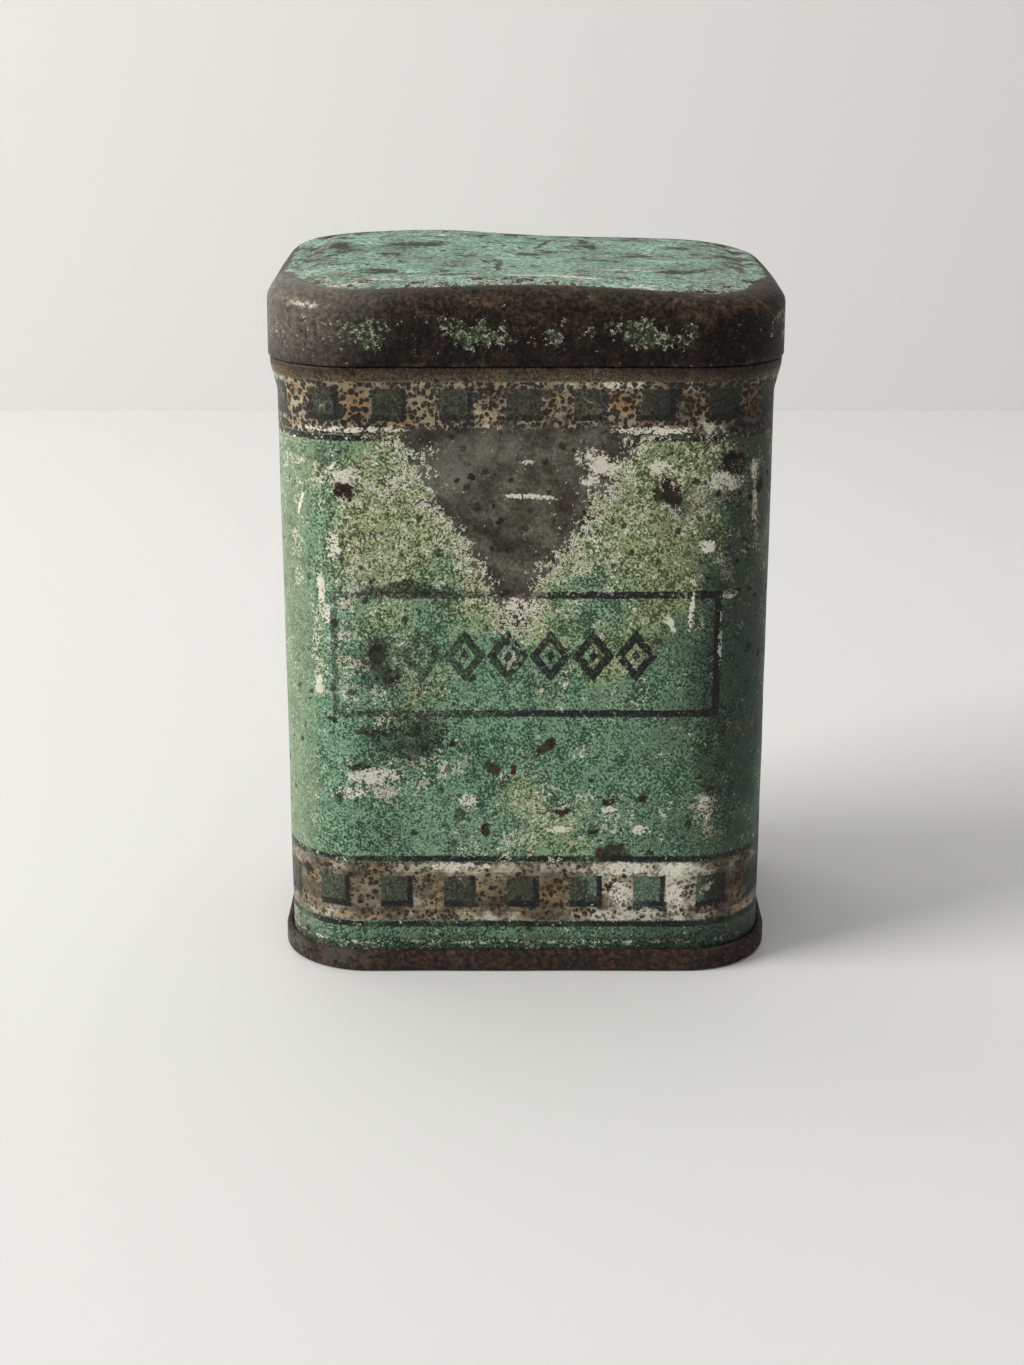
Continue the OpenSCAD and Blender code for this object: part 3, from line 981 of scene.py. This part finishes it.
def sheet_ink(net, on):
    """Where the black ink lies: the label's, fainter at its left, and that of the borders."""
    kept = net.ease(net.add(net.mul(on.across, 0.05), net.mul(net.cloud(on.flat, 5.0, 3.0), 0.3)),
                    -0.8, 0.4, 0.6, 1.0)
    grain = net.ease(on.stipple, 0.0, 1.4, 1.0, 0.78)
    label = net.mul(print_label(net, on.across, on.up), kept, grain)
    lines = net.mul(net.most(on.art["lines"], on.art["shadow"]), grain,
                    net.ease(net.cloud(on.flat, 4.0, 3.0), -0.9, 0.2, 0.5, 1.0))
    return label, lines


def sheet_chips(net, on):
    """Pale chips and scratches, and a flecked pale line just above the base seam."""
    at = net.place(WANDER, at=on.shaky, size=0.5, reach=0.6)["At"]
    rough = net.ease(on.grime, -1.0, 1.0, 0.4, 1.6)
    chips = net.ease(net.mul(placed(net, at, CHIPPED), rough), 0.4, 0.65)
    brink = net.mul(net.between(net.add(on.up, net.mul(on.mottle, 0.2)), 3.35, 3.8, 0.12),
                    net.ease(on.grime, 0.1, 0.7))
    return net.most(chips, net.mul(brink, 0.8))


def sheet_pits(net, on):
    """Rust pits of three sizes. The smallest are specks that lie anywhere."""
    pits = net.most(net.place(PITS, at=on.flat, size=1.2, amount=0.52)["Mask"],
                    net.place(PITS, at=on.flat, size=3.2, amount=0.4)["Mask"])
    pits = net.mul(pits, net.ease(net.add(on.broad, net.mul(on.upper_wear, 3.0)), -1.5, 0.0))
    specks = net.place(PITS, at=on.flat, size=0.55, amount=0.46)["Mask"]
    return net.most(pits, net.mul(specks, net.ease(on.broad, -0.2, 0.8, 0.15, 0.8)))


def sheet_dirt_and_shade(net, on, print_gone, chips):
    """Soot, dirt and painted shade in the creases and down the right side, thinner where the sheet is
    freshly worn.
    """
    soot = net.mul(placed(net, on.loose, SOOTY), net.ease(on.grime, -1.2, 1.2, 1.35, 0.45))
    # Painted shade with some dirt: darker towards the foot above the base seam, and in the flare under
    # the lid's edge
    low_shade_and_dirt = net.ease(net.add(on.up, net.mul(on.mottle, 0.6)), 3.4, 5.4, 1.1, 0.0)
    crease_shade_and_dirt = net.most(net.ease(on.up, 71.2, 72.2), low_shade_and_dirt, net.ease(on.up, 5.6, 6.6, 0.42, 0.0))
    # Painted shade with dirt: the front darkens towards its right corner and down the right side, away
    # from the window
    right_shade_and_dirt = net.mul(net.ease(net.add(on.across, on.broad), 4.0, 29.0),
                    net.ease(on.across, 45.0, 70.0, 1.0, 0.3))
    uneven = net.add(on.broad, net.mul(on.mottle, 0.7))
    dirt_and_shade = net.add(soot, net.mul(crease_shade_and_dirt, 0.8), net.mul(on.upper_border, 0.22), net.mul(right_shade_and_dirt, 0.78),
                   net.mul(uneven, 0.34), net.mul(print_gone, -0.4), net.mul(chips, -0.8),
                   net.mul(on.clean, on.art["border"], -0.3), net.mul(on.calm, -0.1))
    return net.ease(dirt_and_shade, -0.12, 1.25, 0.0, 1.0)


def bare_front(net, on, bare):
    """Bare tinplate, rubbed brighter at the left of the wedge."""
    rubbed = net.place(PATCH, at=on.loose, centre=(-7.0, 61.5, 0), reach=(8, 4.5, 1000), turn=-0.5)
    bright = net.mul(rubbed["Mask"], net.ease(net.add(on.broad, on.mottle), -1.0, 1.2, 0.2, 1.0))
    return net.blend(net.mul(bright, 0.8), bare, shade(120, 121, 111))


def printed_tin():
    """Green and cream print on tinplate, worn through to the base coat and the bare metal."""
    material, net = new_material("printed_tin")
    on = Sheet(net, net.on_print())
    label_ink, line_ink = sheet_ink(net, on)
    cream, holes = border_cream(net, on)

    # The layers that wear away: print, base coat under it, and the dull strip over the upper border
    strip = net.blend(net.ease(on.stipple, -0.6, 0.8), shade(48, 38, 26), shade(112, 92, 62))
    past_border = net.above(on.up, UPPER_BORDER[1], 0.15)

    def with_borders(field, border):
        return net.blend(past_border, net.blend(on.art["border"], field, border), strip)

    ink_colour = net.blend(net.ease(on.stipple, 0.0, 1.0), shade(8, 12, 11), shade(32, 42, 36))
    colour = with_borders(green_print(net, on), border_squares(net, on, cream))
    colour = net.blend(net.most(label_ink, line_ink), colour, ink_colour)
    coat = net.blend(net.ease(on.mottle, -0.8, 0.8), shade(216, 212, 176), shade(246, 243, 226))

    # The wear, from the top layer down
    bare = net.place(BARE, at=on.flat)["Color"]
    loss = net.place(LOSS, at=on.flat, damage=sheet_damage(net, on))
    print_gone = net.mul(loss["Print Gone"], net.sub(1.0, net.mul(label_ink, 0.6)),
                         net.sub(1.0, net.mul(on.upper_border, 0.8)))
    colour = net.blend(print_gone, colour, with_borders(coat, cream))
    colour = net.blend(loss["Coat Gone"], colour, bare_front(net, on, bare))
    chips = sheet_chips(net, on)
    colour = net.blend(net.mul(chips, 0.92), colour, shade(226, 223, 205))

    # Rust
    pits = sheet_pits(net, on)
    spots = net.mul(placed(net, on.loose, RUSTED), net.ease(on.grime, -1.3, 1.3, 0.3, 1.7))
    spots = net.ease(spots, 0.34, 0.78)
    rusty = net.most(spots, net.mul(pits, 0.85))
    rust = net.place(RUST, at=on.flat, redness=net.ease(on.across, -9.0, 0.0, 0.05, 0.9))
    colour = net.blend(net.mul(pits, 0.88), colour, shade(32, 26, 20))
    colour = net.blend(spots, colour, rust["Color"])

    # Dirt and painted shade, darkest and brownest in the grain, and the bare neck under the lid
    dirt_and_shade = sheet_dirt_and_shade(net, on, print_gone, chips)
    colour = net.blend(dirt_and_shade, colour, net.scaled(colour, 0.24))
    brown = net.mul(dirt_and_shade, net.ease(on.stipple, -0.4, 0.8, 0.0, 0.45))
    colour = net.blend(brown, colour, shade(44, 38, 28))
    neck = net.ease(on.up, SHOULDER_Z + 0.1, SHOULDER_Z + 0.5)
    colour = net.blend(net.mul(neck, net.sub(1.0, rusty)), colour, bare)

    fine = net.ease(net.cloud(on.flat, 0.3, 2.0, 0.6), -1.0, 1.0, -0.05, 0.05)
    rough = net.add(net.ease(print_gone, 0.0, 1.0, 0.4, 0.62), net.mul(rusty, 0.3), fine,
                    net.mul(dirt_and_shade, 0.15))
    metal = net.mul(loss["Coat Gone"], net.sub(1.0, rusty), 0.2)
    height = net.add(net.mul(print_gone, -0.35), net.mul(loss["Coat Gone"], -0.45),
                     net.mul(rusty, -0.2), net.mul(rusty, rust["Height"], 0.5),
                     net.mul(on.stipple, 0.14), net.mul(on.art["border"], holes, -0.3))
    return finish_material(material, net, colour, rough, metal, height, 0.12, 0.3)


# ---- the other finishes ----

def inside_tin():
    """The plain inner side of the tinplate: grey, with grain, pits and rust blooms."""
    material, net = new_material("inside_tinplate")
    solid = net.leaned(net.in_tin())
    bare = net.place(BARE, at=solid)
    bloom = net.ease(net.add(net.cloud(solid, 6.0, 4.0, 0.62),
                             net.mul(net.cloud(solid, 0.8, 4.0, 0.7), 0.5)), 0.45, 0.9)
    pits = net.place(PITS, at=solid, size=1.8, amount=0.35)["Mask"]
    rusty = net.most(bloom, pits)
    rust = net.place(RUST, at=solid, redness=0.9)
    drawn = net.cloud(net.vector("MULTIPLY", solid, (1.0, 1.0, 0.05)), 0.5, 2.0)
    tin = net.scaled(bare["Color"], net.ease(drawn, -1.0, 1.0, 1.15, 1.5))
    colour = net.blend(rusty, tin, rust["Color"])
    rough = net.ease(rusty, 0.0, 1.0, 0.38, 0.85)
    metal = net.ease(rusty, 0.0, 1.0, 0.75, 0.0)
    height = net.add(net.mul(drawn, 0.1), net.mul(rusty, rust["Height"], 0.5))
    return finish_material(material, net, colour, rough, metal, height, 0.06)


def rusted_base():
    """The bare base: dark rust, rubbed to a grey shine where hands wear it, and a painted grey sheen at
    its left front corner.
    """
    material, net = new_material("rusted_base")
    place = net.in_tin()
    solid = net.leaned(place)
    rust = net.place(RUST, at=solid, redness=0.75)
    rubbed = net.cloud(solid, 4.0, 4.0, 0.6)
    fleck = net.cloud(solid, 0.5, 4.0, 0.75)
    # The left front corner, which gets a painted grey sheen
    corner = net.place(PATCH, at=place, centre=(-HALF_W, -HALF_D, SEAM_H / 2), reach=(16, 14, 8),
                       turn=0.0)["Mask"]
    # Grey where it is rubbed, plus the painted grey sheen of the corner
    shine = net.ease(net.add(rubbed, net.mul(fleck, 0.5), net.mul(corner, 1.2)), 0.6, 1.6)
    colour = net.blend(net.mul(shine, 0.8), rust["Color"], shade(92, 86, 79))
    chips = net.place(PITS, at=solid, size=1.1, amount=0.22)["Mask"]
    colour = net.blend(net.mul(chips, net.ease(fleck, -0.2, 0.4)), colour, shade(150, 140, 120))
    rough = net.ease(shine, 0.0, 1.0, 0.66, 0.4)
    height = net.add(rust["Height"], net.mul(chips, 0.5))
    return finish_material(material, net, colour, rough, net.mul(shine, 0.5), height, 0.1, 0.3)


def lid_damage(net, across, up, streak, patch, on_top):
    """Damage to the lid's print: streaks on the top, and a skirt worn but for a band of remnants."""
    edge_wear = net.ease(net.sub(up, RIM_Z), 3.0, 10.0, 0.75, 0.0)
    top = net.add(edge_wear, net.mul(streak, 0.8), net.mul(patch, 0.4), -0.16)
    waist = net.mul(net.between(up, LID_EDGE_Z + 1.8, LID_EDGE_Z + 5.8, 1.2),
                    net.ease(patch, -0.5, 0.5, 0.2, 1.0), net.ease(across, -25.0, -17.0, 0.5, 1.0))
    return net.blend(on_top, net.add(1.9, net.mul(waist, -1.42)), top)


def lid_print(net, fine, patch, on_top):
    """The lid's print, teal on the top and dark green on the skirt, and the coat under it."""
    teal = net.blend(net.ease(fine, -0.8, 0.9), shade(74, 110, 94), shade(168, 200, 180))
    teal = net.scaled(teal, net.ease(patch, -0.9, 0.9, 1.2, 0.8))
    green = net.blend(net.ease(fine, -0.6, 0.9), shade(28, 40, 26), shade(100, 120, 84))
    side_coat = net.blend(net.ease(fine, 0.0, 0.7), shade(50, 48, 34), shade(222, 219, 194))
    top_coat = net.blend(net.ease(fine, -0.6, 0.6), shade(150, 148, 126), shade(228, 224, 206))
    return net.blend(on_top, green, teal), net.blend(on_top, side_coat, top_coat)


def lid_patina(net, solid, up, streak, fine, on_top):
    """What the bare lid has turned: dark brown, nearly black on the skirt, with painted shade low on the
    skirt, a painted sheen towards its rounded top edge and a paler hem.
    """
    rust = net.place(RUST, at=solid, redness=0.12)["Color"]
    top = net.blend(net.ease(fine, -0.8, 0.8), shade(14, 11, 8), shade(58, 51, 40))
    tarnish = net.blend(net.ease(fine, -0.5, 1.0), shade(10, 6, 3), shade(48, 38, 28))
    # Painted light and shade on the skirt: darker low down and painted lighter towards its rounded top
    # edge, where light from above reflects; paler along the hem
    skirt_sheen_and_hem = net.ease(net.add(up, net.mul(streak, 0.6)), LID_EDGE_Z + 3.0, RIM_Z - 0.5, 0.7, 2.3)
    hem = net.between(up, LID_EDGE_Z - 0.5, LID_EDGE_Z + 0.5, 0.15)
    skirt_sheen_and_hem = net.add(skirt_sheen_and_hem, net.mul(hem, net.ease(streak, -0.6, 0.6, 0.0, 1.2)))
    side = net.scaled(net.blend(net.ease(streak, -0.2, 0.8), tarnish, rust), skirt_sheen_and_hem)
    return net.blend(on_top, side, top)


def worn_lid():
    """The lid: streaky teal print on the top, dark patina with green remnants on the skirt."""
    material, net = new_material("worn_lid")
    sheet = net.on_print()
    place = net.in_tin()
    solid = net.leaned(place)
    loose = net.place(WANDER, at=place, size=3.0, reach=2.0)["At"]
    across, up = net.split(sheet)["X"], net.split(sheet)["Y"]
    along = net.leaned(net.vector("MULTIPLY", loose, (0.6, 1.0, 1.0)))
    streak = net.cloud(along, 2.2, 5.0, 0.72)
    patch = net.cloud(solid, 6.0, 4.0, 0.6)
    fine = net.cloud(solid, 0.55, 4.0, 0.75)
    brink = net.ease(net.split(place)["Y"], -CORE_Y - 2.0, -CORE_Y + 4.0, 3.2, 0.8)
    inset = net.add(net.sub(up, RIM_Z), net.mul(fine, 0.5))
    on_top = net.ease(net.sub(inset, brink), 0.0, 0.9)

    # Print, the coat under it and the patina under both
    loss = net.place(LOSS, at=solid, damage=lid_damage(net, across, up, streak, patch, on_top))
    paint, coat = lid_print(net, fine, patch, on_top)
    colour = net.blend(loss["Print Gone"], paint, coat)
    front_lip = net.ease(net.split(loose)["Y"], -CORE_Y, -CORE_Y + 6.0, 0.0, 0.75)
    stripped = net.most(loss["Coat Gone"], net.mul(loss["Print Gone"], on_top, front_lip))
    colour = net.blend(stripped, colour, lid_patina(net, solid, up, streak, fine, on_top))

    # Dark marks and pale flecks on the top
    ragged = net.ease(net.add(fine, streak), -1.0, 1.0, 0.3, 1.6)
    torn = net.place(WANDER, at=loose, size=0.8, reach=1.3)["At"]
    marks = net.ease(net.mul(placed(net, torn, LID_MARKED), ragged), 0.4, 0.55)
    marks = net.mul(net.most(marks, net.ease(net.add(streak, net.mul(fine, 0.6)), 0.6, 0.78)), on_top)
    colour = net.blend(net.mul(marks, 0.92), colour, shade(42, 33, 22))
    flecks = net.ease(net.mul(placed(net, torn, LID_CHIPPED), ragged), 0.36, 0.56)
    colour = net.blend(net.mul(flecks, on_top, 0.9), colour, shade(224, 221, 202))

    # Pits, scratches, and the left front corner: rubbed to bare metal, with a painted grey highlight
    pits = net.place(PITS, at=solid, size=1.6, amount=0.4)["Mask"]
    colour = net.blend(net.mul(pits, 0.85), colour, shade(30, 24, 18))
    cuts = net.place(SCRATCHES, at=solid, turn=0.3, amount=0.0)["Mask"]
    colour = net.blend(net.mul(cuts, 0.5), colour, shade(60, 56, 48))
    # A painted grey highlight on the rubbed left front corner, towards the window
    corner = net.place(PATCH, at=loose, centre=(-HALF_W, -HALF_D, RIM_Z - 2.5), reach=(17, 19, 11),
                       turn=0.0)["Mask"]
    rubbed = net.mul(corner, loss["Coat Gone"], net.ease(fine, -0.8, 1.0, 0.35, 1.0))
    colour = net.blend(net.mul(rubbed, 0.75), colour, shade(128, 123, 113))

    rough = net.add(net.ease(loss["Coat Gone"], 0.0, 1.0, 0.5, 0.46), net.mul(fine, 0.06),
                    net.mul(pits, 0.2), net.mul(rubbed, -0.2))
    height = net.add(net.mul(loss["Print Gone"], -0.3), net.mul(loss["Coat Gone"], -0.3),
                     net.mul(fine, net.ease(rubbed, 0.0, 0.6, 0.3, 0.08)), net.mul(pits, -0.4),
                     net.mul(marks, -0.3))
    return finish_material(material, net, colour, rough, net.mul(rubbed, 0.7), height, 0.12, 0.14)


place_camera()
light_scene()
place_backdrop()

WANDER = wander_group()
PATCH = patch_group()
LOSS = loss_group()
RUST = rust_group()
BARE = bare_group()
PITS = pits_group()
SCRATCHES = scratch_group()

inside = inside_tin()
make_body([printed_tin(), inside])
make_base([rusted_base(), inside])
make_lid([worn_lid(), inside])
